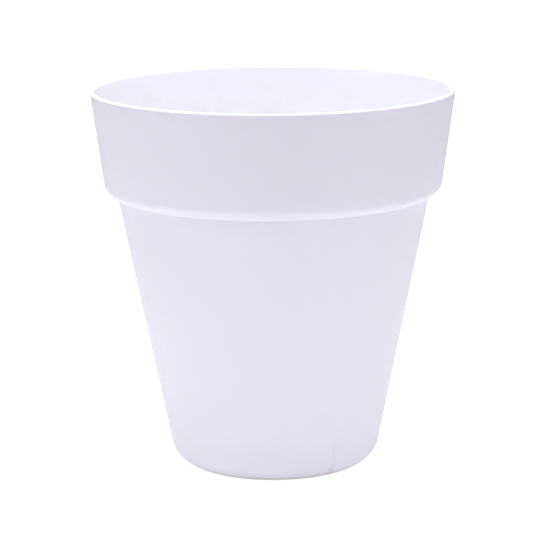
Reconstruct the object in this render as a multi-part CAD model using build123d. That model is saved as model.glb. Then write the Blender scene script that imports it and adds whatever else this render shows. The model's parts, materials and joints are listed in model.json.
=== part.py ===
from build123d import *

import math
import os

# A self-watering planter: a one-piece moulded pot with a tall rim band, and the water-reserve kit
# that stands inside it. Millimetres, +Z up, origin on the floor at the centre of the pot.
# The front is -Y. Azimuths are degrees counter-clockwise from +X, seen from above.

# Pot: driving dimensions
HEIGHT = 418.0
RIM_RADIUS = 200.0
BAND_HEIGHT = 113.0
BAND_LOW_RADIUS = 185.0
NECK_RADIUS = 173.0
FOOT_RADIUS = 112.0  # where wall and floor would meet with no rounding
WALL = 5.0
FOOT_ROUND = 28.0
BAND_ROUND = 11.0
NECK_ROUND = 2.5
RIM_ROUND = 2.4
RECESS_ROUND = 4.0
RECESS_FOOT_ROUND = 6.0
RECESS_RADIUS = 46.0  # raised centre of the base, which clears the drain fittings
RECESS_FOOT_RADIUS = 52.0
RECESS_HEIGHT = 24.0
NOTCH_RADIUS = 3.5  # drain notches moulded across the foot
NOTCH_DEPTH = 2.3
NOTCH_TOP_Z = 37.0  # centre of the notch's rounded top end, on the wall
NOTCH_AZIMUTHS = (63.0, 183.0, 303.0)

NECK_Z = HEIGHT - BAND_HEIGHT
WALL_SLOPE = (NECK_RADIUS - FOOT_RADIUS) / NECK_Z
FLOOR_Z = WALL
BASE_TOP_Z = RECESS_HEIGHT + WALL

# Reservoir platform
DECK_Z = 95.0
DECK_THICKNESS = 3.0
DECK_TOP_Z = DECK_Z + DECK_THICKNESS
DECK_GAP = 1.2  # clearance all round to the pot's wall
SKIRT_DEPTH = 10.0
SKIRT_THICKNESS = 2.5
RIB_DEPTH = 8.0
RIB_THICKNESS = 2.0
RIB_INNER_RADIUS = 24.0
RIB_AZIMUTHS = (0.0, 30.0, 60.0, 120.0, 150.0, 180.0, 240.0, 270.0)
SLOT_WIDTH = 3.0
INNER_SLOTS = (28.0, 46.0)  # radii between which they run
INNER_SLOT_COUNT = 12
OUTER_SLOTS = (105.0, 118.0)
OUTER_SLOT_COUNT = 24
OUTER_SLOT_GAP = 15.0  # degrees each side of the fill tube left without slots
COLLAR_HEIGHT = 10.0
COLLAR_THICKNESS = 3.0

# Wicking feet: soil-filled cups that carry the platform
FOOT_AZIMUTHS = (90.0, 210.0, 330.0)
FOOT_PITCH = 74.0
CUP_TOP_RADIUS = 24.0
CUP_LOW_RADIUS = 14.0
CUP_WALL = 2.0
CUP_FLANGE_RADIUS = 28.0
CUP_FLANGE = 2.0
CUP_SLOT_COUNT = 4  # slots come in opposite pairs
CUP_SLOT_WIDTH = 3.0
CUP_SLOT_ROWS = ((18.0, 44.0), (50.0, 76.0))
CUP_HOLE_COUNT = 4
CUP_HOLE_PITCH = 7.0
DRAIN_HOLE_RADIUS = 2.0

# Fill tube, funnel and lid
FILL_AZIMUTH = 300.0
FILL_PITCH = 102.0
FILL_RADIUS = 15.0
FILL_BORE = 13.0
FILL_LOW_Z = 76.0
FILL_TOP_Z = 370.0
FILL_STOP = 3.0  # thickness of the ring that rests on the platform's collar
FUNNEL_SLEEVE = 22.0
FUNNEL_SLEEVE_WALL = 2.4
FUNNEL_MOUTH_RADIUS = 26.0
FUNNEL_TOP_Z = 386.0
FUNNEL_LIP = 4.0
FUNNEL_LIP_WALL = 2.0
FUNNEL_WALL = 2.6
LID_THICKNESS = 2.5
LID_GAP = 0.3
LID_OVERHANG = 1.0
LID_ROUND = 1.0
TAB_WIDTH = 16.0
TAB_LENGTH = 14.0
TAB_ROUND = 3.0
PLUG_DEPTH = 2.2
PLUG_WALL = 1.6
PLUG_GAP = 1.4
HINGE_OFFSET = 31.0  # from the tube's axis towards the pot's wall
HINGE_PIN_RADIUS = 1.5
KNUCKLE_RADIUS = 3.4
KNUCKLE_LENGTH = 14.0
EAR_LENGTH = 5.0
EAR_GAP = 0.3
EAR_DROP = 5.0  # how far the ears' arms start below the funnel's top
EAR_ARM_HEIGHT = 6.5
EAR_ARM_INNER = 22.0
EAR_CLEARANCE = 2.0
PIN_PROUD = 0.5  # at each end

# Water gauge
GAUGE_AZIMUTH = 255.0
GAUGE_PITCH = 76.0
CAGE_RADIUS = 17.0
CAGE_WALL = 1.8
CAGE_LOW_Z = 8.0
FLOAT_RADIUS = 14.0
FLOAT_HEIGHT = 24.0
CAGE_FLOOR = 2.0
CAGE_TOP = 3.0
CAGE_SLOT_COUNT = 3
CAGE_SLOT_WIDTH = 4.0
CAGE_SLOT_ROWS = ((16.0, 46.0), (52.0, 82.0))
CAGE_HOLE_COUNT = 6
CAGE_HOLE_PITCH = 9.0
FLOAT_ROUND = 3.0
FLOAT_LOW_Z = CAGE_LOW_Z + CAGE_FLOOR + 0.3
GAUGE_RADIUS = 9.0
GAUGE_BORE = 7.2
GAUGE_TOP_Z = 316.0
GAUGE_SPIGOT = 3.0  # length of tube below the platform
GAUGE_FLANGE_REACH = 4.0
GAUGE_FLANGE = 3.0
ROD_RADIUS = 2.0
GUIDE_HEIGHT = 6.0
GUIDE_GAP = 0.4
POINTER_RADIUS = 6.0
POINTER_HEIGHT = 12.0
POINTER_LOW_Z = 322.0
POINTER_ROUND = 4.0
POINTER_CROWN = 3.0  # thickness over the rod's end
WINDOW_RADIUS = 10.9
WINDOW_LOW_Z = 304.0
WINDOW_TOP_Z = 388.0
WINDOW_CROWN = 1.8
SCALE_ARC = 110.0
SCALE_THICKNESS = 0.7
SCALE_AZIMUTH = 270.0  # the strip's middle, on the pot's wall side
SCALE_LOW_Z = GAUGE_TOP_Z + 2
SCALE_TOP_Z = WINDOW_TOP_Z - 4
CAP_TOP_Z = 394.0
CAP_SKIRT = 8.0
CAP_WALL = 1.8
CAP_CHAMFER = 2.0

# Overflow standpipe
PIPE_RADIUS = 9.5
PIPE_BORE = 7.5
PIPE_LOW_Z = 12.0
PIPE_TOP_Z = 82.0
PIPE_HOLE_RADIUS = 10.0
WASHER_RADIUS = 16.0
WASHER_THICKNESS = 3.0
FLANGE_RADIUS = 18.0
FLANGE_THICKNESS = 3.0
NUT_FLAT_RADIUS = 15.0
NUT_LOW_Z = 15.0
NUT_FLANGE_REACH = 4.0
NUT_FLANGE = 2.0
STRAINER_RADIUS = 13.0
STRAINER_LOW_Z = 72.0
STRAINER_TOP_Z = 90.0
STRAINER_WALL = 2.0
STRAINER_SLOT_WIDTH = 2.4
STRAINER_SLOT_COUNT = 4

FIT = 0.1  # radial gap between pieces that slip together
RUNNING_GAP = 0.05  # radial clearance of the lid on its hinge pin
BASE = (Align.CENTER, Align.CENTER, Align.MIN)


def inner_wall_radius(z):
    """The pot's inside radius on the straight part of the wall."""
    return FOOT_RADIUS + WALL_SLOPE * z - WALL * math.hypot(1, WALL_SLOPE)


def turned(*outline):
    """A solid of revolution about Z from a closed outline of (radius, height) points."""
    face = make_face(Polyline(*[(r, 0, z) for r, z in outline], close=True))
    return revolve(face, Axis.Z)


def rod(radius, low, high):
    return Pos(0, 0, low) * Cylinder(radius, high - low, align=BASE)


def ring(radius, bore, low, high):
    return turned((bore, low), (radius, low), (radius, high), (bore, high))


def at(azimuth, pitch):
    """The place on a pitch circle, keeping the piece's own X and Y directions."""
    angle = math.radians(azimuth)
    return Pos(pitch * math.cos(angle), pitch * math.sin(angle), 0)


def cross_slots(count, length, width, low, high):
    """Boxes through the axis, which cut 2 * count slots in a round wall."""
    box = Pos(0, 0, low) * Box(length, width, high - low, align=BASE)
    return [Rot(0, 0, i * 180.0 / count) * box for i in range(count)]


def hole_circle(count, pitch, high):
    """Cutters for a circle of small drain holes in a floor that ends at high."""
    hole = Pos(pitch, 0, 0) * rod(DRAIN_HOLE_RADIUS, 0, high + 1)
    return [Rot(0, 0, i * 360.0 / count) * hole for i in range(count)]


def pot_outline(above):
    """The pot's outside, in the XY plane of a sketch, taken past the axis and above the rim."""
    past_axis = -4 * WALL
    rim_slope = (RIM_RADIUS - BAND_LOW_RADIUS) / BAND_HEIGHT
    corners = {
        (RECESS_RADIUS, RECESS_HEIGHT): RECESS_ROUND,
        (RECESS_FOOT_RADIUS, 0.0): RECESS_FOOT_ROUND,
        (FOOT_RADIUS, 0.0): FOOT_ROUND,
        (NECK_RADIUS, NECK_Z): NECK_ROUND,
        (BAND_LOW_RADIUS, NECK_Z): BAND_ROUND,
    }
    top = HEIGHT + above
    outline = Polyline(
        (past_axis, RECESS_HEIGHT),
        *corners,
        (RIM_RADIUS + rim_slope * above, top),
        (past_axis, top),
        close=True,
    )
    face = make_face(outline)
    for corner, radius in corners.items():
        face = fillet(face.vertices().sort_by_distance((*corner, 0))[0], radius)
    return face


def drain_notch():
    """The cutter for one notch: under the foot, round its rounding and a little way up the wall."""
    lean = math.atan(WALL_SLOPE)
    centre_r = FOOT_RADIUS - FOOT_ROUND * math.tan(math.pi / 4 - lean / 2)
    path_radius = FOOT_ROUND + NOTCH_RADIUS - NOTCH_DEPTH
    low = Pos(centre_r, 0, FOOT_ROUND - path_radius)
    channel = low * Rot(0, -90, 0) * Cylinder(NOTCH_RADIUS, centre_r - RECESS_RADIUS, align=BASE)
    section = low * Plane.YZ * Circle(NOTCH_RADIUS)
    pivot = Axis((centre_r, 0, FOOT_ROUND), (0, -1, 0))
    climb = revolve(section, pivot, revolution_arc=90 - math.degrees(lean))
    wall_r = centre_r + path_radius * math.cos(lean)
    wall_z = FOOT_ROUND - path_radius * math.sin(lean)
    run = (NOTCH_TOP_Z - wall_z) / math.cos(lean)
    up_wall = Pos(wall_r, 0, wall_z) * Rot(0, math.degrees(lean), 0)
    straight = up_wall * Cylinder(NOTCH_RADIUS, run, align=BASE)
    tip = up_wall * Pos(0, 0, run) * Sphere(NOTCH_RADIUS)
    return channel + climb + straight + tip


def planter_shell():
    tall = pot_outline(above=4 * WALL)
    hollow = offset(tall, amount=-WALL)
    keep = Rectangle(2 * RIM_RADIUS, HEIGHT, align=(Align.MIN, Align.MIN))
    section = (tall - hollow) & keep
    rim_corners = section.vertices().group_by(Axis.Y)[-1]
    section = fillet(rim_corners, RIM_ROUND)
    shell = revolve(Plane.XZ * section, Axis.Z)
    shell -= rod(PIPE_HOLE_RADIUS, 0, HEIGHT)
    for azimuth in NOTCH_AZIMUTHS:
        shell -= Rot(0, 0, azimuth) * drain_notch()
    return shell


def radial_slot(low_radius, high_radius):
    """A round-ended slot cutter through the deck, along +X."""
    length = high_radius - low_radius
    slot = Pos((low_radius + high_radius) / 2, 0) * SlotOverall(length, SLOT_WIDTH)
    return extrude(Pos(0, 0, DECK_Z - 1) * slot, DECK_THICKNESS + 2)


def reservoir_platform():
    skirt_z = DECK_Z - SKIRT_DEPTH
    edge = inner_wall_radius(DECK_TOP_Z) - DECK_GAP
    skirt_edge = inner_wall_radius(skirt_z) - DECK_GAP
    deck_edge = inner_wall_radius(DECK_Z) - DECK_GAP - SKIRT_THICKNESS
    deck = turned(
        (0, DECK_Z),
        (deck_edge, DECK_Z),
        (skirt_edge - SKIRT_THICKNESS, skirt_z),
        (skirt_edge, skirt_z),
        (edge, DECK_TOP_Z),
        (0, DECK_TOP_Z),
    )
    rib_low = DECK_Z - RIB_DEPTH
    rib_length = deck_edge - RIB_INNER_RADIUS
    rib = Pos(RIB_INNER_RADIUS, 0, rib_low) * Box(
        rib_length, RIB_THICKNESS, RIB_DEPTH, align=(Align.MIN, Align.CENTER, Align.MIN)
    )
    ribs = [Rot(0, 0, azimuth) * rib for azimuth in RIB_AZIMUTHS]
    hub = ring(RIB_INNER_RADIUS + RIB_THICKNESS, RIB_INNER_RADIUS, rib_low, DECK_Z)
    fill_at = at(FILL_AZIMUTH, FILL_PITCH)
    gauge_at = at(GAUGE_AZIMUTH, GAUGE_PITCH)
    collar_top = DECK_TOP_Z + COLLAR_HEIGHT
    collar = rod(FILL_RADIUS + FIT + COLLAR_THICKNESS, DECK_TOP_Z, collar_top)
    platform = deck + ribs + hub + fill_at * collar
    platform -= fill_at * rod(FILL_RADIUS + FIT, 0, HEIGHT)
    platform -= gauge_at * rod(GAUGE_RADIUS + FIT, 0, HEIGHT)
    for azimuth in FOOT_AZIMUTHS:
        platform -= at(azimuth, FOOT_PITCH) * rod(CUP_TOP_RADIUS + FIT, 0, HEIGHT)
    inner_slot = radial_slot(*INNER_SLOTS)
    outer_slot = radial_slot(*OUTER_SLOTS)
    for i in range(INNER_SLOT_COUNT):
        platform -= Rot(0, 0, (i + 0.5) * 360.0 / INNER_SLOT_COUNT) * inner_slot
    for i in range(OUTER_SLOT_COUNT):
        azimuth = (i + 0.5) * 360.0 / OUTER_SLOT_COUNT
        if abs(azimuth - FILL_AZIMUTH) > OUTER_SLOT_GAP:
            platform -= Rot(0, 0, azimuth) * outer_slot
    return platform


def wicking_foot():
    """A slotted cup that stands on the pot's floor and drops through the platform from above."""
    flange_top = DECK_TOP_Z + CUP_FLANGE
    cup = turned(
        (0, FLOOR_Z),
        (CUP_LOW_RADIUS, FLOOR_Z),
        (CUP_TOP_RADIUS, DECK_TOP_Z),
        (CUP_FLANGE_RADIUS, DECK_TOP_Z),
        (CUP_FLANGE_RADIUS, flange_top),
        (CUP_TOP_RADIUS - CUP_WALL, flange_top),
        (CUP_LOW_RADIUS - CUP_WALL, FLOOR_Z + CUP_WALL),
        (0, FLOOR_Z + CUP_WALL),
    )
    for low, high in CUP_SLOT_ROWS:
        cup -= cross_slots(CUP_SLOT_COUNT, 4 * CUP_TOP_RADIUS, CUP_SLOT_WIDTH, low, high)
    return cup - hole_circle(CUP_HOLE_COUNT, CUP_HOLE_PITCH, FLOOR_Z + CUP_WALL)


def fill_tube():
    stop_low = DECK_TOP_Z + COLLAR_HEIGHT
    tube = rod(FILL_RADIUS, FILL_LOW_Z, FILL_TOP_Z)
    tube += rod(FILL_RADIUS + COLLAR_THICKNESS, stop_low, stop_low + FILL_STOP)
    return tube - rod(FILL_BORE, 0, HEIGHT)


def hinge_place():
    """The lid's hinge axis, along X, on the wall side of the funnel."""
    return Pos(0, -HINGE_OFFSET, FUNNEL_TOP_Z + LID_GAP + LID_THICKNESS / 2)


def along_x(radius, length):
    return Rot(0, 90, 0) * Cylinder(radius, length)


def fill_funnel():
    sleeve_low = FILL_TOP_Z - FUNNEL_SLEEVE
    bore = FILL_RADIUS + FIT
    sleeve = bore + FUNNEL_SLEEVE_WALL
    lip_low = FUNNEL_TOP_Z - FUNNEL_LIP
    funnel = turned(
        (bore, sleeve_low),
        (sleeve, sleeve_low),
        (sleeve, FILL_TOP_Z - FUNNEL_LIP),
        (FUNNEL_MOUTH_RADIUS, lip_low),
        (FUNNEL_MOUTH_RADIUS, FUNNEL_TOP_Z),
        (FUNNEL_MOUTH_RADIUS - FUNNEL_LIP_WALL, FUNNEL_TOP_Z),
        (FUNNEL_MOUTH_RADIUS - FUNNEL_WALL, lip_low),
        (FILL_BORE, FILL_TOP_Z),
        (bore, FILL_TOP_Z),
    )
    arm_low = FUNNEL_TOP_Z - EAR_DROP
    inside = rod(FUNNEL_MOUTH_RADIUS - FUNNEL_LIP_WALL, arm_low, arm_low + EAR_ARM_HEIGHT)
    for side in (-1, 1):
        ear_x = side * (KNUCKLE_LENGTH / 2 + EAR_GAP + EAR_LENGTH / 2)
        arm = Pos(ear_x, -HINGE_OFFSET, arm_low) * Box(
            EAR_LENGTH, HINGE_OFFSET - EAR_ARM_INNER, EAR_ARM_HEIGHT, align=(Align.CENTER, Align.MIN, Align.MIN)
        )
        ear = Pos(ear_x, 0, 0) * hinge_place() * along_x(KNUCKLE_RADIUS, EAR_LENGTH)
        funnel += (arm - inside) + ear
    funnel -= rod(FUNNEL_MOUTH_RADIUS + EAR_CLEARANCE, FUNNEL_TOP_Z, HEIGHT)
    return funnel - hinge_place() * along_x(HINGE_PIN_RADIUS, 2 * HINGE_OFFSET)


def fill_lid():
    low = FUNNEL_TOP_Z + LID_GAP
    disc = rod(FUNNEL_MOUTH_RADIUS + LID_OVERHANG, low, low + LID_THICKNESS)
    disc = fillet(disc.edges().group_by(Axis.Z)[-1], LID_ROUND)
    tab = Pos(0, FUNNEL_MOUTH_RADIUS, low) * Box(TAB_WIDTH, TAB_LENGTH, LID_THICKNESS, align=BASE)
    tab = fillet(tab.edges().filter_by(Axis.Z).group_by(Axis.Y)[-1], TAB_ROUND)
    plug_radius = FUNNEL_MOUTH_RADIUS - FUNNEL_LIP_WALL - PLUG_GAP
    plug = ring(plug_radius, plug_radius - PLUG_WALL, low - PLUG_DEPTH, low)
    arm = Pos(0, -HINGE_OFFSET, low) * Box(
        KNUCKLE_LENGTH, HINGE_OFFSET - EAR_ARM_INNER, LID_THICKNESS, align=(Align.CENTER, Align.MIN, Align.MIN)
    )
    knuckle = hinge_place() * along_x(KNUCKLE_RADIUS, KNUCKLE_LENGTH)
    lid = disc + tab + plug + arm + knuckle
    return lid - hinge_place() * along_x(HINGE_PIN_RADIUS + RUNNING_GAP, 2 * HINGE_OFFSET)


def lid_hinge_pin():
    length = KNUCKLE_LENGTH + 2 * (EAR_GAP + EAR_LENGTH + PIN_PROUD)
    return hinge_place() * along_x(HINGE_PIN_RADIUS, length)


def float_cage():
    """The slotted chamber under the platform that keeps soil off the float."""
    cage = rod(CAGE_RADIUS, CAGE_LOW_Z, DECK_Z)
    floor_z = CAGE_LOW_Z + CAGE_FLOOR
    cage -= rod(CAGE_RADIUS - CAGE_WALL, floor_z, DECK_Z - CAGE_TOP)
    cage -= rod(GAUGE_RADIUS + FIT, floor_z, HEIGHT)
    for low, high in CAGE_SLOT_ROWS:
        cage -= cross_slots(CAGE_SLOT_COUNT, 3 * CAGE_RADIUS, CAGE_SLOT_WIDTH, low, high)
    return cage - hole_circle(CAGE_HOLE_COUNT, CAGE_HOLE_PITCH, floor_z)


def gauge_float():
    body = rod(FLOAT_RADIUS, FLOAT_LOW_Z, FLOAT_LOW_Z + FLOAT_HEIGHT)
    body = fillet(body.edges(), FLOAT_ROUND)
    return body - rod(ROD_RADIUS, 0, HEIGHT)


def gauge_rod():
    return rod(ROD_RADIUS, FLOAT_LOW_Z, POINTER_LOW_Z + POINTER_HEIGHT - POINTER_CROWN)


def gauge_pointer():
    tip = rod(POINTER_RADIUS, POINTER_LOW_Z, POINTER_LOW_Z + POINTER_HEIGHT)
    tip = fillet(tip.edges().group_by(Axis.Z)[-1], POINTER_ROUND)
    return tip - rod(ROD_RADIUS, 0, POINTER_LOW_Z + POINTER_HEIGHT - POINTER_CROWN)


def gauge_tube():
    """Carries the rod up through the soil. Its flange sits on the platform."""
    tube = rod(GAUGE_RADIUS, DECK_Z - GAUGE_SPIGOT, GAUGE_TOP_Z)
    tube += rod(GAUGE_RADIUS + GAUGE_FLANGE_REACH, DECK_TOP_Z, DECK_TOP_Z + GAUGE_FLANGE)
    return tube - rod(GAUGE_BORE, 0, HEIGHT)


def rod_guide():
    """A bush in the top of the gauge tube, which keeps the rod central."""
    low = GAUGE_TOP_Z - GUIDE_HEIGHT
    return ring(GAUGE_BORE, ROD_RADIUS + GUIDE_GAP, low, GAUGE_TOP_Z)


def gauge_window():
    bore = GAUGE_RADIUS + FIT
    crown_z = WINDOW_TOP_Z - WINDOW_CROWN
    return rod(WINDOW_RADIUS, WINDOW_LOW_Z, WINDOW_TOP_Z) - rod(bore, WINDOW_LOW_Z, crown_z)


def gauge_scale():
    """A printed strip inside the window, on its wall side."""
    strip = Rectangle(SCALE_THICKNESS, SCALE_TOP_Z - SCALE_LOW_Z, align=(Align.MAX, Align.MIN))
    section = Plane.XZ * Pos(GAUGE_RADIUS, SCALE_LOW_Z) * strip
    return Rot(0, 0, SCALE_AZIMUTH - SCALE_ARC / 2) * revolve(section, Axis.Z, revolution_arc=SCALE_ARC)


def gauge_cap():
    skirt_low = WINDOW_TOP_Z - CAP_SKIRT
    radius = WINDOW_RADIUS + CAP_WALL
    return turned(
        (WINDOW_RADIUS + FIT, skirt_low),
        (radius, skirt_low),
        (radius, CAP_TOP_Z - CAP_CHAMFER),
        (radius - CAP_CHAMFER, CAP_TOP_Z),
        (0, CAP_TOP_Z),
        (0, WINDOW_TOP_Z),
        (WINDOW_RADIUS + FIT, WINDOW_TOP_Z),
    )


def overflow_standpipe():
    flange_low = BASE_TOP_Z + WASHER_THICKNESS
    pipe = rod(PIPE_RADIUS, PIPE_LOW_Z, PIPE_TOP_Z)
    pipe += rod(FLANGE_RADIUS, flange_low, flange_low + FLANGE_THICKNESS)
    return pipe - rod(PIPE_BORE, 0, HEIGHT)


def standpipe_washer():
    return ring(WASHER_RADIUS, PIPE_RADIUS, BASE_TOP_Z, BASE_TOP_Z + WASHER_THICKNESS)


def standpipe_locknut():
    """A hexagonal nut with a flange, tightened from under the base."""
    hexagon = RegularPolygon(NUT_FLAT_RADIUS, 6, major_radius=False)
    nut = extrude(Pos(0, 0, NUT_LOW_Z) * hexagon, RECESS_HEIGHT - NUT_LOW_Z)
    nut += rod(NUT_FLAT_RADIUS + NUT_FLANGE_REACH, RECESS_HEIGHT - NUT_FLANGE, RECESS_HEIGHT)
    return nut - rod(PIPE_RADIUS, 0, HEIGHT)


def overflow_strainer():
    """A slotted cap on the standpipe, which keeps grit out of the overflow."""
    inner = STRAINER_RADIUS - STRAINER_WALL
    inner_top = STRAINER_TOP_Z - STRAINER_WALL
    cap = turned(
        (PIPE_RADIUS + FIT, STRAINER_LOW_Z),
        (STRAINER_RADIUS, STRAINER_LOW_Z),
        (STRAINER_RADIUS, inner_top),
        (inner, STRAINER_TOP_Z),
        (0, STRAINER_TOP_Z),
        (0, inner_top),
        (inner, inner_top),
        (inner, PIPE_TOP_Z),
        (PIPE_RADIUS + FIT, PIPE_TOP_Z),
    )
    slots = cross_slots(
        STRAINER_SLOT_COUNT, 4 * STRAINER_RADIUS, STRAINER_SLOT_WIDTH, PIPE_TOP_Z + 0.5, inner_top - 1
    )
    return cap - slots


def pieces():
    """Every piece by name, in its place."""
    at_fill = at(FILL_AZIMUTH, FILL_PITCH)
    at_gauge = at(GAUGE_AZIMUTH, GAUGE_PITCH)
    made = {
        "planter_shell": planter_shell(),
        "reservoir_platform": reservoir_platform(),
        "fill_tube": at_fill * fill_tube(),
        "fill_funnel": at_fill * fill_funnel(),
        "fill_lid": at_fill * fill_lid(),
        "lid_hinge_pin": at_fill * lid_hinge_pin(),
        "float_cage": at_gauge * float_cage(),
        "gauge_float": at_gauge * gauge_float(),
        "gauge_rod": at_gauge * gauge_rod(),
        "gauge_pointer": at_gauge * gauge_pointer(),
        "gauge_tube": at_gauge * gauge_tube(),
        "rod_guide": at_gauge * rod_guide(),
        "gauge_window": at_gauge * gauge_window(),
        "gauge_scale": at_gauge * gauge_scale(),
        "gauge_cap": at_gauge * gauge_cap(),
        "overflow_standpipe": overflow_standpipe(),
        "standpipe_washer": standpipe_washer(),
        "standpipe_locknut": standpipe_locknut(),
        "overflow_strainer": overflow_strainer(),
    }
    for number, azimuth in enumerate(FOOT_AZIMUTHS, 1):
        made[f"wicking_foot_{number}"] = at(azimuth, FOOT_PITCH) * Rot(0, 0, azimuth) * wicking_foot()
    return made


os.makedirs("parts", exist_ok=True)
for name, shape in pieces().items():
    export_step(shape, f"parts/{name}.step")
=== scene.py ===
import json
import math

import bmesh
import bpy
from mathutils import Matrix, Vector, noise


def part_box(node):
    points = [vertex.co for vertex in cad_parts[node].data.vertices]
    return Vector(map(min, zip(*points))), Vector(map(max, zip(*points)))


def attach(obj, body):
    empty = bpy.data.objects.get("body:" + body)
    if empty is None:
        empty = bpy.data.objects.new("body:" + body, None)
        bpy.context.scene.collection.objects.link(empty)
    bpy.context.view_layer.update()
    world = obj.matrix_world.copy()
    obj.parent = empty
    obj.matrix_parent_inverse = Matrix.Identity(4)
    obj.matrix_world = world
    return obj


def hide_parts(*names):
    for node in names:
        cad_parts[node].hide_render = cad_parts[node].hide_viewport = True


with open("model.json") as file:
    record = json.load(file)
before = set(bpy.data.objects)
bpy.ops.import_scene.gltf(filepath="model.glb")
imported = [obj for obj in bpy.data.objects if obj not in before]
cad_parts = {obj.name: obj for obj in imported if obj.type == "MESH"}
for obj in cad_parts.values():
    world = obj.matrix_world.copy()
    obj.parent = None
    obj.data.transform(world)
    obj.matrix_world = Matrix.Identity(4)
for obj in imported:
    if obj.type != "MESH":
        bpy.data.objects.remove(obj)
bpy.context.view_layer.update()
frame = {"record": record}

MM = 0.001
TAU = 2 * math.pi

# The pot's sizes, in millimetres, as in the CAD model.
HEIGHT = 418.0
RIM_RADIUS = 200.0
BAND_LOW_RADIUS = 185.0
NECK_RADIUS = 173.0
NECK_Z = 305.0
FOOT_RADIUS = 112.0
WALL = 5.0
RECESS_RADIUS = 46.0
RECESS_FOOT_RADIUS = 52.0
RECESS_HEIGHT = 24.0
BASE_HOLE_RADIUS = 10.0
WALL_SLOPE = (NECK_RADIUS - FOOT_RADIUS) / NECK_Z
BAND_SLOPE = (RIM_RADIUS - BAND_LOW_RADIUS) / (HEIGHT - NECK_Z)

# The step between the wall and the band, which is softer here than in the CAD model.
LEDGE_DROP = 1.8  # how far the band's underside falls towards the neck
LEDGE_RISE = 0.9  # and how far it rises towards the band
INNER_LEDGE_LIFT = WALL - 0.5  # where the step inside the wall starts, above the neck
INNER_STEP_HEIGHT = 8.0

# Drain notches across the pot's foot, a little shallower than in the CAD model.
NOTCH_RADIUS = 3.5
NOTCH_DEPTH = 1.6
NOTCH_TOP_Z = 37.0
NOTCH_AZIMUTHS = (63.0, 183.0, 303.0)
NOTCH_SOFTNESS = 0.9  # how gently a notch runs out into the wall
NOTCH_ZONE = 4.5  # degrees each side of a notch that get fine columns
NOTCH_COLUMNS = 18  # fine columns in each half of that zone
SHELL_COLUMNS = 288

# The moulded wall's slight unevenness: a broad swell and a finer one, gone at the rim.
BROAD_WAVE = 0.30
BROAD_WAVES_PER_METRE = 11.0
FINE_WAVE = 0.10
FINE_WAVES_PER_METRE = 30.0
WAVE_FADE = 20.0  # below the rim, the height over which the swells come in

WELD = 0.06  # points nearer than this after a boolean become one
ROUNDING_STEP = math.radians(12)  # the most that one piece of a rounding turns
BEVEL_SEGMENTS = 2
SHARP_ANGLE = math.radians(30)  # edges sharper than this are shaded as edges
SLOT_END_PIECES = 8
CENTRE = (0.0, 0.0)

DECK_Z = 95.0
DECK_TOP_Z = 98.0
FLOOR_Z = 5.0


# ---- mesh helpers


def wrapped(angle):
    """An angle in radians brought into -pi to pi."""
    return (angle + math.pi) % TAU - math.pi


def rounded(corners, closed, step=ROUNDING_STEP):
    """Points (r, z) along corners (r, z) or (r, z, rounding), with each rounding as an arc."""
    points = []
    last = len(corners) - 1
    for i, corner in enumerate(corners):
        here = Vector(corner[:2])
        radius = corner[2] if len(corner) > 2 else 0.0
        if radius == 0.0 or (not closed and i in (0, last)):
            points.append(here)
            continue
        before = (Vector(corners[i - 1][:2]) - here).normalized()
        after = (Vector(corners[(i + 1) % len(corners)][:2]) - here).normalized()
        half = before.angle(after) / 2
        centre = here + (before + after).normalized() * (radius / math.sin(half))
        reach = radius / math.tan(half)
        start = here + before * reach - centre
        end = here + after * reach - centre
        first = math.atan2(start.y, start.x)
        turn = wrapped(math.atan2(end.y, end.x) - first)
        count = max(2, math.ceil(abs(turn) / step))
        for k in range(count + 1):
            angle = first + turn * k / count
            points.append(centre + Vector((math.cos(angle), math.sin(angle))) * radius)
    return points


def spaced(points, step):
    """The same line with its long stretches divided, so that no piece is over step long."""
    out = [points[0]]
    for here, there in zip(points, points[1:]):
        count = max(1, math.ceil((there - here).length / step))
        out += [here.lerp(there, k / count) for k in range(1, count + 1)]
    return out


def even_columns(count):
    return [TAU * k / count for k in range(count)]


def link(name, mesh):
    piece = bpy.data.objects.new(name, mesh)
    bpy.context.scene.collection.objects.link(piece)
    return piece


def revolved(outline, columns, closed=True, at=CENTRE, moved=None):
    """A bmesh of an outline, in millimetres, turned about a vertical axis through at.

    An outline that isn't closed starts and ends on the axis. moved, if given, takes a row's number,
    a radius, a height and an azimuth, and returns the radius and height to use there."""
    bm = bmesh.new()
    rows = []
    for i, (r, z) in enumerate(outline):
        if r < 1e-6:
            rows.append([bm.verts.new((at[0] * MM, at[1] * MM, z * MM))])
            continue
        row = []
        for angle in columns:
            rr, zz = (r, z) if moved is None else moved(i, r, z, angle)
            x, y = at[0] + rr * math.cos(angle), at[1] + rr * math.sin(angle)
            row.append(bm.verts.new((x * MM, y * MM, zz * MM)))
        rows.append(row)
    pairs = list(zip(rows, rows[1:]))
    if closed:
        pairs.append((rows[-1], rows[0]))
    count = len(columns)
    for low, high in pairs:
        for k in range(count):
            n = (k + 1) % count
            if len(low) == 1 and len(high) == 1:
                break
            if len(low) == 1:
                bm.faces.new((low[0], high[n], high[k]))
            elif len(high) == 1:
                bm.faces.new((low[k], low[n], high[0]))
            else:
                bm.faces.new((low[k], low[n], high[n], high[k]))
    bmesh.ops.recalc_face_normals(bm, faces=bm.faces)
    return bm


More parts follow.
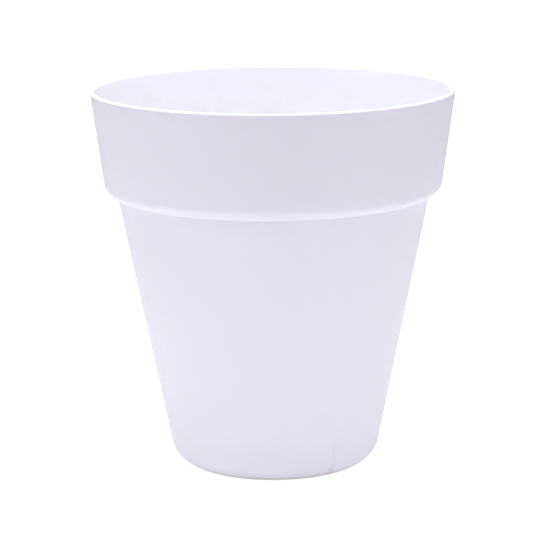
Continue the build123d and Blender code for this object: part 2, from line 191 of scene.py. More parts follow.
def prism(points, low, high, at=CENTRE, turn=0.0):
    """A bmesh of a flat outline, in millimetres, drawn up from low to high, turned and moved."""
    bm = bmesh.new()
    rows = [[bm.verts.new((x * MM, y * MM, z * MM)) for x, y in points] for z in (low, high)]
    bm.faces.new(list(reversed(rows[0])))
    bm.faces.new(rows[1])
    count = len(points)
    for k in range(count):
        n = (k + 1) % count
        bm.faces.new((rows[0][k], rows[0][n], rows[1][n], rows[1][k]))
    place = Matrix.Translation((at[0] * MM, at[1] * MM, 0)) @ Matrix.Rotation(turn, 4, "Z")
    bmesh.ops.transform(bm, matrix=place, verts=bm.verts)
    bmesh.ops.recalc_face_normals(bm, faces=bm.faces)
    return bm


def rectangle(x_low, x_high, y_low, y_high):
    return [(x_low, y_low), (x_high, y_low), (x_high, y_high), (x_low, y_high)]


def circle(radius, count):
    return [(radius * math.cos(a), radius * math.sin(a)) for a in even_columns(count)]


def stadium(length, width):
    """A round-ended slot along X about the origin."""
    radius = width / 2
    half = length / 2 - radius
    points = []
    for side, first in ((1, -math.pi / 2), (-1, math.pi / 2)):
        for k in range(SLOT_END_PIECES + 1):
            angle = first + math.pi * k / SLOT_END_PIECES
            points.append((side * half + radius * math.cos(angle), radius * math.sin(angle)))
    return points


def transformed(bm, matrix):
    bmesh.ops.transform(bm, matrix=matrix, verts=bm.verts)
    return bm


def shift(x, y, z=0.0):
    """The matrix that moves by x, y and z millimetres."""
    return Matrix.Translation((x * MM, y * MM, z * MM))


def gathered(parts):
    """One mesh of several bmeshes, which it frees."""
    whole = bmesh.new()
    for part in parts:
        mesh = bpy.data.meshes.new("part")
        part.to_mesh(mesh)
        part.free()
        whole.from_mesh(mesh)
        bpy.data.meshes.remove(mesh)
    mesh = bpy.data.meshes.new("gathered")
    whole.to_mesh(mesh)
    whole.free()
    return mesh


def apply_modifiers(piece):
    """Gives the piece the mesh that its modifiers make, and drops them."""
    graph = bpy.context.evaluated_depsgraph_get()
    mesh = bpy.data.meshes.new_from_object(piece.evaluated_get(graph))
    piece.modifiers.clear()
    old = piece.data
    piece.data = mesh
    bpy.data.meshes.remove(old)


def combined(piece, parts, operation):
    """Adds the parts to the piece or cuts them out of it, all in one go."""
    tool = link("tool", gathered(parts))
    boolean = piece.modifiers.new("boolean", "BOOLEAN")
    boolean.operation = operation
    boolean.object = tool
    boolean.solver = "EXACT"
    boolean.use_self = operation == "UNION"
    apply_modifiers(piece)
    bpy.data.objects.remove(tool)


def softened(piece, width, angle):
    """Welds slivers away, then rounds edges over angle, in degrees, by width millimetres."""
    bm = bmesh.new()
    bm.from_mesh(piece.data)
    bmesh.ops.remove_doubles(bm, verts=bm.verts, dist=WELD * MM)
    bmesh.ops.dissolve_degenerate(bm, edges=bm.edges, dist=WELD * MM)
    bmesh.ops.recalc_face_normals(bm, faces=bm.faces)
    bm.to_mesh(piece.data)
    bm.free()
    bevel = piece.modifiers.new("bevel", "BEVEL")
    bevel.width = width * MM
    bevel.segments = BEVEL_SEGMENTS
    bevel.limit_method = "ANGLE"
    bevel.angle_limit = math.radians(angle)
    bevel.use_clamp_overlap = False
    bevel.harden_normals = False
    apply_modifiers(piece)
    return piece


def finished(piece, body, node_name, material):
    """Shades the piece and tells the frame what it stands for."""
    piece.name = "visual_" + node_name
    mesh = piece.data
    mesh.name = piece.name
    mesh.polygons.foreach_set("use_smooth", [True] * len(mesh.polygons))
    mesh.set_sharp_from_angle(angle=SHARP_ANGLE)
    mesh.materials.clear()
    mesh.materials.append(material)
    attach(piece, body)
    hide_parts(node_name)


def heights_of(node_name):
    """The lowest and highest z of a CAD node, in millimetres."""
    low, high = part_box(node_name)
    return low.z / MM, high.z / MM


# ---- materials


def node(tree, kind, inputs=None, **settings):
    """Adds a shader node. inputs maps its sockets to a socket to join, or to a value."""
    made = tree.nodes.new(kind)
    for key, value in settings.items():
        setattr(made, key, value)
    for key, value in (inputs or {}).items():
        if isinstance(value, bpy.types.NodeSocket):
            tree.links.new(value, made.inputs[key])
        else:
            made.inputs[key].default_value = value
    return made


def arithmetic(tree, operation, *values):
    """The result of a maths node on one or two values."""
    made = node(tree, "ShaderNodeMath", dict(enumerate(values)), operation=operation)
    return made.outputs["Value"]


def on_vectors(tree, operation, *vectors):
    """A vector maths node on one or two vectors."""
    return node(tree, "ShaderNodeVectorMath", dict(enumerate(vectors)), operation=operation)


def noise_field(tree, where, scale, detail, roughness=0.5, stretch=None):
    """A cloud of noise from 0 to 1. stretch scales the coordinates along each axis first."""
    if stretch is not None:
        inputs = {"Vector": where, "Scale": stretch}
        where = node(tree, "ShaderNodeMapping", inputs).outputs["Vector"]
    inputs = {"Vector": where, "Scale": scale, "Detail": detail, "Roughness": roughness}
    return node(tree, "ShaderNodeTexNoise", inputs).outputs["Fac"]


def cell_distance(tree, where, scale):
    """The distance to the nearest of many scattered points."""
    inputs = {"Vector": where, "Scale": scale}
    return node(tree, "ShaderNodeTexVoronoi", inputs).outputs["Distance"]


def height_of(tree, where):
    return node(tree, "ShaderNodeSeparateXYZ", {"Vector": where}).outputs["Z"]


def remapped(tree, value, low, high, to_low, to_high):
    """The value taken from the range low to high over to another range, and held at its ends."""
    inputs = {"Value": value, "From Min": low, "From Max": high}
    inputs |= {"To Min": to_low, "To Max": to_high}
    return node(tree, "ShaderNodeMapRange", inputs).outputs["Result"]


def mixed(tree, factor, first, second):
    """The first colour at factor 0, the second at 1. Each is a socket or a value."""
    made = node(tree, "ShaderNodeMix", data_type="RGBA")
    for index, value in ((0, factor), (6, first), (7, second)):
        if isinstance(value, bpy.types.NodeSocket):
            tree.links.new(value, made.inputs[index])
        else:
            made.inputs[index].default_value = value
    return made.outputs[2]


def bumped(tree, height, strength, distance, normal=None):
    """A normal tilted by a height field, on top of another normal if one is given."""
    inputs = {"Height": height, "Strength": strength, "Distance": distance}
    if normal is not None:
        inputs["Normal"] = normal
    return node(tree, "ShaderNodeBump", inputs).outputs["Normal"]


def material_of(name, **constants):
    """A new material, its tree, its shader and its object coordinates.

    constants go on the shader, with an underscore for each space in an input's name."""
    material = bpy.data.materials.new(name)
    material.use_nodes = True
    tree = material.node_tree
    shader = tree.nodes["Principled BSDF"]
    for key, value in constants.items():
        shader.inputs[key.replace("_", " ")].default_value = value
    where = node(tree, "ShaderNodeTexCoord").outputs["Object"]
    return material, tree, shader, where


def shade(colour, factor=1.0):
    """The colour made darker or paler, as red, green, blue and alpha."""
    return tuple(min(1.0, c * factor) for c in colour) + (1.0,)


def moulded_plastic(name, colour, rough, mottle, grain, specks):
    """Moulded plastic: mottled colour, fine grain, scuffs and paler worn edges."""
    material, tree, shader, where = material_of(name)
    patches = noise_field(tree, where, 28.0, detail=4.0)
    fine = noise_field(tree, where, 1400.0, detail=2.0)
    tone = mixed(tree, patches, shade(colour, 1 - mottle), shade(colour, 1 + mottle))
    if specks:
        dots = remapped(tree, cell_distance(tree, where, 260.0), 0.08, 0.16, specks, 0.0)
        tone = mixed(tree, dots, tone, shade(colour, 2.2))
    worn = node(tree, "ShaderNodeNewGeometry").outputs["Pointiness"]
    edge = remapped(tree, worn, 0.53, 0.62, 0.0, 0.35)
    tone = mixed(tree, edge, tone, shade(colour, 1.35))
    tree.links.new(tone, shader.inputs["Base Color"])
    streaks = noise_field(tree, where, 60.0, detail=5.0, stretch=(1.0, 1.0, 7.0))
    scuffs = remapped(tree, streaks, 0.55, 0.75, 0.0, 0.12)
    base = remapped(tree, patches, 0.3, 0.7, rough - 0.04, rough + 0.04)
    tree.links.new(arithmetic(tree, "ADD", base, scuffs), shader.inputs["Roughness"])
    soft = bumped(tree, patches, 0.25, 0.0006)
    tree.links.new(bumped(tree, fine, grain, 0.00012, soft), shader.inputs["Normal"])
    return material


# The shell's skin. Painted bounce light makes it paler and less tinted inside; painted shade
# darkens its standing edge.
SHELL_COLOUR = (0.803, 0.772, 0.880)
INNER_PAINTED_LIGHT_COLOUR = (0.803, 0.798, 0.840)
INNER_RIM_SHADED_COLOUR = (0.775, 0.765, 0.850)
FOOT_SHADE_COLOUR = (0.780, 0.735, 0.735)
FOOT_SHADE_Z = (0.001, 0.008)  # all of it below the first height, in metres, none above the second
INNER_PAINTED_LIGHT_Z = (0.345, 0.410)  # and the same for the colour of the wall inside, under the rim's


def inside_share(tree, where):
    """1 where the wall faces the pot's axis, 0 where it faces away, and between on the rim."""
    normal = node(tree, "ShaderNodeTexCoord").outputs["Normal"]
    flat = on_vectors(tree, "MULTIPLY", where, (1.0, 1.0, 0.0)).outputs["Vector"]
    outward = on_vectors(tree, "NORMALIZE", flat).outputs["Vector"]
    facing = on_vectors(tree, "DOT_PRODUCT", outward, normal).outputs["Value"]
    return remapped(tree, facing, -0.5, 0.1, 1.0, 0.0)


def shell_material():
    """Rotation-moulded polyethylene: a waxy satin skin with a fine grain and faint flow marks."""
    constants = {"Specular IOR Level": 0.45, "IOR": 1.5}
    constants |= {"Subsurface Weight": 0.08, "Subsurface Scale": 0.01}
    material, tree, shader, where = material_of("shell_plastic", **constants)
    shader.inputs["Subsurface Radius"].default_value = (1.0, 0.9, 1.0)
    broad = noise_field(tree, where, 9.0, detail=3.0)
    patches = noise_field(tree, where, 45.0, detail=5.0, roughness=0.6)
    tone = mixed(tree, broad, shade(SHELL_COLOUR, 0.975), shade(SHELL_COLOUR, 1.015))
    dull = remapped(tree, patches, 0.35, 0.7, 0.0, 0.5)
    tone = mixed(tree, dull, tone, shade(SHELL_COLOUR, 0.985))
    specks = remapped(tree, cell_distance(tree, where, 150.0), 0.05, 0.10, 0.25, 0.0)
    tone = mixed(tree, specks, tone, shade(SHELL_COLOUR, 0.80))
    height = height_of(tree, where)
    # Painted shade: the standing edge darkens towards the floor.
    painted_foot_shade = remapped(tree, height, FOOT_SHADE_Z[1], FOOT_SHADE_Z[0], 0.0, 1.0)
    tone = mixed(tree, painted_foot_shade, tone, shade(FOOT_SHADE_COLOUR))
    # Painted bounce light: inside, the wall runs from the rim's darker colour to a paler, less
    # tinted tone lower down.
    painted_bounce_share = remapped(tree, height, INNER_PAINTED_LIGHT_Z[1], INNER_PAINTED_LIGHT_Z[0], 0.0, 1.0)
    inner = mixed(tree, painted_bounce_share, shade(INNER_RIM_SHADED_COLOUR), shade(INNER_PAINTED_LIGHT_COLOUR, 1.05))
    dull = remapped(tree, patches, 0.35, 0.7, 0.0, 0.6)
    inner = mixed(tree, dull, inner, shade(INNER_PAINTED_LIGHT_COLOUR, 0.965))
    tone = mixed(tree, inside_share(tree, where), tone, inner)
    tree.links.new(tone, shader.inputs["Base Color"])
    streaks = noise_field(tree, where, 50.0, detail=6.0, roughness=0.6, stretch=(1.0, 1.0, 0.2))
    gloss = remapped(tree, streaks, 0.3, 0.75, 0.43, 0.52)
    tree.links.new(gloss, shader.inputs["Roughness"])
    peel = noise_field(tree, where, 260.0, detail=2.0)
    grain = noise_field(tree, where, 1700.0, detail=2.0)
    soft = bumped(tree, peel, 0.25, 0.0004)
    tree.links.new(bumped(tree, grain, 0.25, 0.0001, soft), shader.inputs["Normal"])
    return material


def steel_material():
    """Drawn stainless rod: fine streaks along it."""
    material, tree, shader, where = material_of("steel", Metallic=1.0, Anisotropic=0.4)
    streaks = noise_field(tree, where, 900.0, detail=4.0, stretch=(1.0, 1.0, 0.02))
    stains = noise_field(tree, where, 60.0, detail=4.0)
    tone = mixed(tree, streaks, (0.50, 0.50, 0.51, 1), (0.68, 0.68, 0.69, 1))
    tone = mixed(tree, remapped(tree, stains, 0.5, 0.8, 0.0, 0.3), tone, (0.42, 0.40, 0.37, 1))
    tree.links.new(tone, shader.inputs["Base Color"])
    tree.links.new(remapped(tree, streaks, 0.3, 0.7, 0.22, 0.40), shader.inputs["Roughness"])
    tree.links.new(bumped(tree, streaks, 0.2, 0.00008), shader.inputs["Normal"])
    return material


def foam_material():
    """Moulded bead foam: packed cells with darker seams between them."""
    material, tree, shader, where = material_of("float_plastic", Specular_IOR_Level=0.3)
    inputs = {"Vector": where, "Scale": 380.0}
    cells = node(tree, "ShaderNodeTexVoronoi", inputs, feature="DISTANCE_TO_EDGE")
    gap = remapped(tree, cells.outputs["Distance"], 0.0, 0.12, 0.0, 1.0)
    patches = noise_field(tree, where, 90.0, detail=4.0)
    tone = mixed(tree, gap, (0.56, 0.54, 0.48, 1), (0.80, 0.78, 0.72, 1))
    tone = mixed(tree, remapped(tree, patches, 0.45, 0.75, 0.0, 0.4), tone, (0.62, 0.58, 0.48, 1))
    tree.links.new(tone, shader.inputs["Base Color"])
    tree.links.new(remapped(tree, patches, 0.3, 0.7, 0.6, 0.8), shader.inputs["Roughness"])
    tree.links.new(bumped(tree, gap, 0.6, 0.0003), shader.inputs["Normal"])
    return material


def clear_material():
    """Clear polycarbonate with light scratches and a little haze."""
    material, tree, shader, where = material_of("clear_plastic", Transmission_Weight=1.0, IOR=1.49)
    scratches = noise_field(tree, where, 500.0, detail=4.0, stretch=(1.0, 1.0, 0.06))
    haze = noise_field(tree, where, 70.0, detail=4.0)
    tone = mixed(tree, haze, (0.93, 0.96, 0.95, 1), (0.98, 0.99, 0.99, 1))
    tree.links.new(tone, shader.inputs["Base Color"])
    marks = remapped(tree, scratches, 0.55, 0.75, 0.0, 0.18)
    base = remapped(tree, haze, 0.3, 0.7, 0.03, 0.09)
    tree.links.new(arithmetic(tree, "ADD", base, marks), shader.inputs["Roughness"])
    tree.links.new(bumped(tree, scratches, 0.15, 0.00005), shader.inputs["Normal"])
    return material


TICK_PITCH = 5.0
TICK_SHARE = 0.12  # of the pitch
EMPTY_SHARE, FULL_SHARE = 0.16, 0.86  # where the bands of colour end and start, from 0 to 1


def scale_material(low, high):
    """A printed strip from low to high: a white ground, ticks, and a band of colour at each end."""
    constants = {"Coat Weight": 0.3, "Coat Roughness": 0.2}
    material, tree, shader, where = material_of("scale_plastic", **constants)
    along = remapped(tree, height_of(tree, where), low, high, 0.0, 1.0)
    phase = arithmetic(tree, "MULTIPLY", along, (high - low) / (TICK_PITCH * MM))
    tick = arithmetic(tree, "LESS_THAN", arithmetic(tree, "FRACT", phase), TICK_SHARE)
    fibres = noise_field(tree, where, 900.0, detail=3.0)
    ground = mixed(tree, fibres, (0.78, 0.79, 0.77, 1), (0.86, 0.87, 0.86, 1))
    empty = arithmetic(tree, "LESS_THAN", along, EMPTY_SHARE)
    full = arithmetic(tree, "GREATER_THAN", along, FULL_SHARE)
    tone = mixed(tree, empty, ground, (0.62, 0.05, 0.03, 1))
    tone = mixed(tree, full, tone, (0.03, 0.22, 0.55, 1))
    tone = mixed(tree, tick, tone, (0.03, 0.03, 0.035, 1))
    tree.links.new(tone, shader.inputs["Base Color"])
    tree.links.new(remapped(tree, fibres, 0.3, 0.7, 0.35, 0.5), shader.inputs["Roughness"])
    tree.links.new(bumped(tree, fibres, 0.1, 0.00005), shader.inputs["Normal"])
    return material


def rubber_material():
    """Black moulded rubber with a dusty bloom."""
    material, tree, shader, where = material_of("rubber", Specular_IOR_Level=0.35)
    bloom = noise_field(tree, where, 120.0, detail=6.0, roughness=0.65)
    grain = noise_field(tree, where, 2200.0, detail=2.0)
    dust = remapped(tree, bloom, 0.45, 0.8, 0.0, 0.7)
    tone = mixed(tree, dust, (0.018, 0.018, 0.018, 1), (0.085, 0.082, 0.078, 1))
    tree.links.new(tone, shader.inputs["Base Color"])
    tree.links.new(remapped(tree, bloom, 0.3, 0.7, 0.62, 0.8), shader.inputs["Roughness"])
    tree.links.new(bumped(tree, grain, 0.4, 0.0001), shader.inputs["Normal"])
    return material


# The plain moulded plastics: colour, roughness, mottle, grain and specks.
PLASTICS = {
    "kit_plastic": ((0.052, 0.053, 0.057), 0.50, 0.20, 0.35, 0.35),
    "tube_plastic": ((0.27, 0.28, 0.30), 0.42, 0.05, 0.2, 0.0),
    "lid_plastic": ((0.050, 0.054, 0.058), 0.36, 0.12, 0.5, 0.0),
    "fitting_plastic": ((0.060, 0.062, 0.065), 0.46, 0.16, 0.35, 0.2),
    "pointer_plastic": ((0.58, 0.030, 0.020), 0.30, 0.05, 0.15, 0.0),
}


def all_materials():
    """Each slot's material."""
    low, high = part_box("gauge_scale")
    return {
        **{name: moulded_plastic(name, *look) for name, look in PLASTICS.items()},
        "shell_plastic": shell_material(),
        "steel": steel_material(),
        "float_plastic": foam_material(),
        "clear_plastic": clear_material(),
        "scale_plastic": scale_material(low.z, high.z),
        "rubber": rubber_material(),
    }


# ---- the pot

OUTER_CORNERS = [
    (BASE_HOLE_RADIUS, RECESS_HEIGHT),
    (RECESS_RADIUS, RECESS_HEIGHT, 4.0),
    (RECESS_FOOT_RADIUS, 0.0, 6.0),
    (FOOT_RADIUS, 0.0, 28.0),
    (NECK_RADIUS - WALL_SLOPE * LEDGE_DROP, NECK_Z - LEDGE_DROP, 3.2),
    (BAND_LOW_RADIUS + BAND_SLOPE * LEDGE_RISE, NECK_Z + LEDGE_RISE, 13.5),
    (RIM_RADIUS, HEIGHT, 2.4),
]


def inner_corners():
    """The inside of the wall, WALL from the outside, from the base hole to the rim."""
    wall_run = WALL * math.hypot(1, WALL_SLOPE)
    band_run = WALL * math.hypot(1, BAND_SLOPE)
    bump_slope = (RECESS_FOOT_RADIUS - RECESS_RADIUS) / RECESS_HEIGHT
    bump_run = WALL * math.hypot(1, bump_slope)
    ledge_z = NECK_Z + INNER_LEDGE_LIFT
    band_z = ledge_z + INNER_STEP_HEIGHT
    return [
        (BASE_HOLE_RADIUS, RECESS_HEIGHT + WALL),
        (RECESS_RADIUS - bump_slope * WALL + bump_run, RECESS_HEIGHT + WALL, 9.0),
        (RECESS_FOOT_RADIUS - bump_slope * WALL + bump_run, WALL, 1.0),
        (FOOT_RADIUS + WALL_SLOPE * WALL - wall_run, WALL, 23.0),
        (FOOT_RADIUS + WALL_SLOPE * ledge_z - wall_run, ledge_z, 10.0),
        (BAND_LOW_RADIUS + BAND_SLOPE * (band_z - NECK_Z) - band_run, band_z, 15.0),
        (RIM_RADIUS - band_run, HEIGHT, 2.4),
    ]


def shell_columns():
    """Even columns, with finer ones at each notch."""
    columns = []
    for k in range(SHELL_COLUMNS):
        degrees = 360 * k / SHELL_COLUMNS
        near = min(abs(wrapped(math.radians(degrees - notch))) for notch in NOTCH_AZIMUTHS)
        if math.degrees(near) > NOTCH_ZONE:
            columns.append(degrees)
    fine = [NOTCH_ZONE * k / NOTCH_COLUMNS for k in range(-NOTCH_COLUMNS, NOTCH_COLUMNS + 1)]
    for notch in NOTCH_AZIMUTHS:
        columns += [notch + degrees for degrees in fine]
    return [math.radians(degrees) for degrees in sorted(c % 360 for c in columns)]


def wall_line(corners, rim_end, step, spacing):
    """The rounded line through the corners. rim_end, a radius, only gives the last one its turn."""
    line = rounded([*corners, (rim_end, HEIGHT)], closed=False, step=math.radians(step))
    return spaced(line[:-1], spacing)


def planter_shell():
    """The shell, with its drain notches and a slight unevenness of its wall."""
    outer = wall_line(OUTER_CORNERS, RIM_RADIUS - 6, 5, 5.0)
    inner = wall_line(inner_corners(), RIM_RADIUS - 3, 8, 7.0)
    outline = outer + inner[::-1]
    run = [0.0]
    for here, there in zip(outline, outline[1:]):
        run.append(run[-1] + (there - here).length)
    normals = []
    for i in range(len(outline)):
        along = outline[(i + 1) % len(outline)] - outline[i - 1]
        normals.append(Vector((along.y, -along.x)).normalized())
    # A notch is a round-ended groove. Its rows start in the base's recess, and tip is the first
    # row over its top, by the length above.
    first = next(i for i, p in enumerate(outline) if p.y < RECESS_HEIGHT / 2)
    tip = next(i for i, p in enumerate(outline) if p.x > FOOT_RADIUS and p.y > NOTCH_TOP_Z)
    above = (outline[tip].y - NOTCH_TOP_Z) * math.hypot(1, WALL_SLOPE)

    def moved(i, r, z, angle):
        inward = 0.0
        if first <= i <= tip + 3:
            past = max(0.0, run[i] - run[tip] + above)
            across = min(abs(wrapped(angle - math.radians(a))) for a in NOTCH_AZIMUTHS) * r
            inside = NOTCH_RADIUS**2 - across**2 - past**2
            depth = math.sqrt(max(0.0, inside)) - NOTCH_RADIUS + NOTCH_DEPTH
            inward += (depth + math.hypot(depth, NOTCH_SOFTNESS)) / 2
        if r > FOOT_RADIUS:
            spot = Vector((r * math.cos(angle), r * math.sin(angle), z)) * MM
            wave = BROAD_WAVE * (0.5 + 0.5 * noise.noise(spot * BROAD_WAVES_PER_METRE))
            wave -= FINE_WAVE * noise.noise(spot * FINE_WAVES_PER_METRE)
            wave *= min(1.0, (HEIGHT - z) / WAVE_FADE)
            inward += wave if i < len(outer) else -wave
        return r - normals[i].x * inward, z - normals[i].y * inward

    return link("planter_shell", to_mesh(revolved(outline, shell_columns(), moved=moved)))


def to_mesh(bm):
    mesh = bpy.data.meshes.new("mesh")
    bm.to_mesh(mesh)
    bm.free()
    return mesh



def lathe(outline, columns, at=CENTRE, closed=True, step=18.0):
    """A piece turned from corners (r, z) or (r, z, rounding)."""
    points = rounded(outline, closed, math.radians(step))
    return link("lathe", to_mesh(revolved(points, even_columns(columns), closed, at)))


def drilled(radius, low, high, at, count):
    """A round upright cutter or boss."""
    return prism(circle(radius, count), low, high, at)


def around(azimuth, pitch, centre=CENTRE):
    """A place on a circle about the centre, azimuth in degrees."""
    angle = math.radians(azimuth)
    return (centre[0] + pitch * math.cos(angle), centre[1] + pitch * math.sin(angle))


UP_TO_X = Matrix.Rotation(math.pi / 2, 4, "Y")


def side_slot(low, high, width, near, far, azimuth, at):
    """A cutter for an upright round-ended slot in a round wall, from radius near to far."""
    bm = prism(stadium(high - low, width), near, far)
    upright = Matrix.Rotation(math.radians(azimuth), 4, "Z") @ UP_TO_X
    return transformed(bm, shift(*at, (low + high) / 2) @ upright)


def along_x(radius, x_low, x_high, y, z, count):
    """A round bar along X."""
    return transformed(prism(circle(radius, count), x_low, x_high), shift(0, y, z) @ UP_TO_X)


def inner_wall_radius(z):
    """The inside of the wall at a height below the neck."""
    return FOOT_RADIUS + WALL_SLOPE * z - WALL * math.hypot(1, WALL_SLOPE)


# Where the fill tube, the gauge and the wicking feet stand.
FILL_AT = around(300.0, 102.0)
GAUGE_AT = around(255.0, 76.0)
FOOT_AZIMUTHS = (90.0, 210.0, 330.0)
FOOT_PITCH = 74.0
GROOVE = 0.6  # depth of the rings moulded into the platform


def grooved(radius, width=2.4, top=DECK_TOP_Z):
    """The corners of a shallow groove in a flat top, from the outside in."""
    half = width / 2
    return [
        (radius + half, top, 0.2),
        (radius + half - GROOVE, top - GROOVE, 0.2),
        (radius - half + GROOVE, top - GROOVE, 0.2),
        (radius - half, top, 0.2),
    ]


def turned_ring(outline, at):
    """A bmesh of a ring or disc with sharp corners, from an outline of points (r, z)."""
    on_axis = outline[0][0] == 0
    return revolved([Vector(p) for p in outline], even_columns(72), not on_axis, at)


def reservoir_platform():
    """The perforated deck: a disc with a skirt, eight ribs, a hub ring and the tube's collar."""
    skirt_z = DECK_Z - 10
    gap = 1.2  # between the deck and the shell
    edge = inner_wall_radius(DECK_TOP_Z) - gap
    skirt_edge = inner_wall_radius(skirt_z) - gap
    deck_edge = inner_wall_radius(DECK_Z) - gap - 2.5
    outline = [
        (0.0, DECK_Z),
        (deck_edge, DECK_Z, 1.2),
        (skirt_edge - 2.5, skirt_z, 0.8),
        (skirt_edge, skirt_z, 0.8),
        (edge, DECK_TOP_Z, 0.9),
        *grooved(121.4, 1.4),
        *grooved(101.4),
        *grooved(48.0, 1.6),
        *grooved(22.0),
        (0.0, DECK_TOP_Z),
    ]
    deck = lathe(outline, 240, closed=False, step=30)
    low, high = DECK_Z - 8, DECK_Z + 1
    rib = rectangle(25.0, deck_edge, -1, 1)
    turns = (0, 30, 60, 120, 150, 180, 240, 270)
    ribs = [prism(rib, low, high, turn=math.radians(turn)) for turn in turns]
    hub = turned_ring(rectangle(24, 26, low, high), CENTRE)
    collar = drilled(18.1, DECK_TOP_Z - 1, 108, FILL_AT, 64)
    combined(deck, ribs + [hub, collar], "UNION")

    def through(radius, at, count):
        return drilled(radius, low - 2, 110, at, count)

    def deck_slot(length, azimuth, pitch):
        place = around(azimuth, pitch)
        outline = stadium(length, 3)
        return prism(outline, DECK_Z - 1, DECK_TOP_Z + 1, place, math.radians(azimuth))

    cuts = [through(15.1, FILL_AT, 64), through(9.1, GAUGE_AT, 48)]
    cuts += [through(24.1, around(azimuth, FOOT_PITCH), 72) for azimuth in FOOT_AZIMUTHS]
    cuts += [deck_slot(18, 15 + 30 * i, 37.0) for i in range(12)]
    outer_azimuths = [7.5 + 15 * i for i in range(24)]
    cuts += [deck_slot(13, azimuth, 111.5) for azimuth in outer_azimuths if abs(azimuth - 300) > 15]
    combined(deck, cuts, "DIFFERENCE")
    return softened(deck, 0.35, angle=50)


def wicking_foot(azimuth):
    """A tapered cup with a flange, two rows of slots and holes in its floor."""
    place = around(azimuth, FOOT_PITCH)
    outline = [
        (0.0, FLOOR_Z),
        (14.0, FLOOR_Z, 1.2),
        (24.0, DECK_TOP_Z, 0.3),
        (28.0, DECK_TOP_Z, 0.3),
        (28.0, DECK_TOP_Z + 2, 0.7),
        (22.0, DECK_TOP_Z + 2, 1.2),
        (12.0, FLOOR_Z + 2, 1.0),
        (0.0, FLOOR_Z + 2),
    ]
    cup = lathe(outline, 72, place, closed=False)
    drains = [around(azimuth + 90 * i, 7, place) for i in range(4)]
    cuts = [drilled(2, FLOOR_Z - 1, FLOOR_Z + 4, drain, 20) for drain in drains]
    for i in range(8):
        for low, high in ((18, 44), (50, 76)):
            cuts.append(side_slot(low, high, 3, 8, 30, azimuth + 45 * i, place))
    combined(cup, cuts, "DIFFERENCE")
    return softened(cup, 0.3, angle=50)


def ring_groove(radius, floor, z, half, floor_half, rounding):
    """The corners of a groove round a cylinder, from the bottom up."""
    return [
        (radius, z - half, rounding),
        (floor, z - floor_half, rounding),
        (floor, z + floor_half, rounding),
        (radius, z + half, rounding),
    ]


def fill_tube():
    """The pipe, with its stop ring and two fine grooves."""
    grooves = []
    for z in (150.0, 344.0):
        grooves += ring_groove(15.0, 14.6, z, 2, 1.5, 0.2)
    outline = [
        (13.0, 76.0, 0.5),
        (15.0, 76.0, 0.7),
        (15.0, 108.0, 0.2),
        (18.0, 108.0, 0.4),
        (18.0, 111.0, 0.6),
        (15.0, 111.0, 0.4),
        *grooves,
        (15.0, 370.0, 0.6),
        (13.0, 370.0, 0.6),
    ]
    return lathe(outline, 64, FILL_AT)


# The lid's hinge, a line along X.
HINGE_Y = FILL_AT[1] - 31.0
HINGE_Z = 387.55
KNUCKLE_RADIUS = 3.4


def fill_funnel():
    """The flared mouth, with a rolled lip, six small gussets and two hinge ears."""
    outline = [
        (15.1, 348.0, 0.4),
        (17.5, 348.0, 0.6),
        (17.5, 366.0, 1.5),
        (26.0, 382.0, 0.8),
        (26.0, 386.0, 0.7),
        (24.0, 386.0, 0.6),
        (23.4, 382.0, 0.6),
        (13.0, 370.0, 0.5),
        (15.1, 370.0),
    ]
    funnel = lathe(outline, 72, FILL_AT)
    x, y = FILL_AT
    gusset = [(16.6, 352), (18.6, 352), (18.6, 366), (25.4, 379.5), (25.4, 382), (16.6, 366)]
    gussets = []
    for i in range(6):
        turn = Matrix.Rotation(math.radians(30 + 60 * i), 4, "Z")
        upright = Matrix.Rotation(math.pi / 2, 4, "X")
        gussets.append(transformed(prism(gusset, -0.8, 0.8), shift(x, y) @ turn @ upright))
    combined(funnel, gussets, "UNION")
    for side in (-1, 1):
        mid = x + side * 9.8
        ear = prism(rectangle(mid - 2.3, mid + 2.3, HINGE_Y, y - 24.2), 381.0, 386.0)
        knuckle = along_x(KNUCKLE_RADIUS, mid - 2.5, mid + 2.5, HINGE_Y, HINGE_Z, 40)
        combined(funnel, [ear], "UNION")
        combined(funnel, [knuckle], "UNION")
    bore = along_x(1.5, x - 30, x + 30, HINGE_Y, HINGE_Z, 24)
    trim = turned_ring([(0, 386), (28, 386), (28, 400), (0, 400)], FILL_AT)
    combined(funnel, [bore], "DIFFERENCE")
    combined(funnel, [trim], "DIFFERENCE")
    return softened(funnel, 0.3, angle=45)


def drop_outline(size, count):
    """A plain water drop, point towards +Y."""
    points = []
    for k in range(count):
        t = math.pi / 2 + TAU * k / count
        pull = (1 + math.sin(t)) / 2  # 1 at the point, 0 at the round end
        across = math.cos(t) * (1 - 0.75 * pull**2)
        along = math.sin(t) + 0.55 * pull**3
        points.append((size * across, size * along))
    return points


